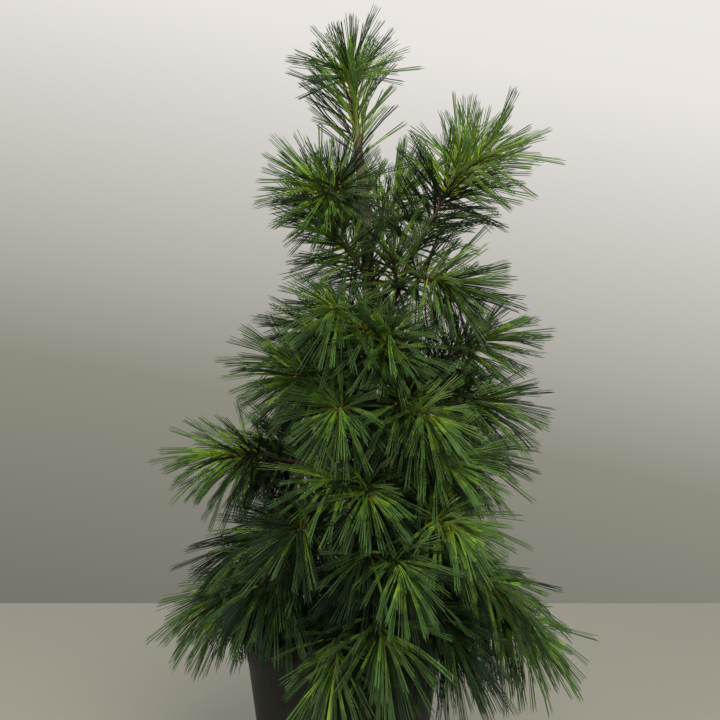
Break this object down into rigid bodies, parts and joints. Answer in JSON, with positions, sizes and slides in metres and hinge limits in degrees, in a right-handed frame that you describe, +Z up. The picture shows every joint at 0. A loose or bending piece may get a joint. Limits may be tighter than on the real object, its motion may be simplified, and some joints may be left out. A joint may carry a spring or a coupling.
{
  "type": "potted eastern white pine",
  "caption": "Young eastern white pine with a straight leader, whorls of drooping boughs and long soft needles, standing in a round black nursery pot",
  "frame": {"origin": "Centre of the pot's flat underside", "axes": "+Z up along the trunk, +X to the viewer's right in the picture, -Y towards the viewer"},
  "size_m": [0.5571, 0.517, 1.0302],
  "materials": {
    "pot": "smooth moulded black, satin",
    "soil": "loose composted bark",
    "bark": "thin grey-brown bark",
    "needles": "soft satin needles"
  },
  "bodies": {
    "root": {"bough_belt_front": "bark", "bough_belt_right": "bark", "bough_lower_front_left": "bark", "bough_lower_front_right": "bark", "bough_middle_left": "bark", "bough_shoulder_front_left": "bark", "bough_skirt_front": "bark", "bough_skirt_left": "bark", "bough_skirt_right": "bark", "bough_skirt_right_low": "bark", "bough_strong": "bark", "bough_waist_front": "bark", "foliage_belt_back_left": "needles", "foliage_belt_back_right": "needles", "foliage_belt_front": "needles", "foliage_belt_front_2": "needles", "foliage_belt_front_left": "needles", "foliage_belt_front_right": "needles", "foliage_belt_front_right_2": "needles", "foliage_belt_right": "needles", "foliage_leader_back": "needles", "foliage_leader_left": "needles", "foliage_leader_right": "needles", "foliage_leader_tip": "needles", "foliage_lower_back_left": "needles", "foliage_lower_back_right": "needles", "foliage_lower_front": "needles", "foliage_lower_front_left": "needles", "foliage_lower_front_right": "needles", "foliage_lower_left": "needles", "foliage_middle_back": "needles", "foliage_middle_back_left": "needles", "foliage_middle_front": "needles", "foliage_middle_front_right": "needles", "foliage_middle_left": "needles", "foliage_middle_right": "needles", "foliage_shoulder_back_left": "needles", "foliage_shoulder_back_right": "needles", "foliage_shoulder_front_left": "needles", "foliage_skirt_back": "needles", "foliage_skirt_back_left": "needles", "foliage_skirt_back_right": "needles", "foliage_skirt_front": "needles", "foliage_skirt_front_left": "needles", "foliage_skirt_front_low": "needles", "foliage_skirt_front_right": "needles", "foliage_skirt_left": "needles", "foliage_skirt_right": "needles", "foliage_skirt_right_low": "needles", "foliage_strong": "needles", "foliage_strong_left": "needles", "foliage_strong_middle": "needles", "foliage_strong_right": "needles", "foliage_waist_back": "needles", "foliage_waist_front": "needles", "foliage_waist_left": "needles", "pot": "pot", "soil": "soil", "trunk": "bark"}
  },
  "joints": []
}
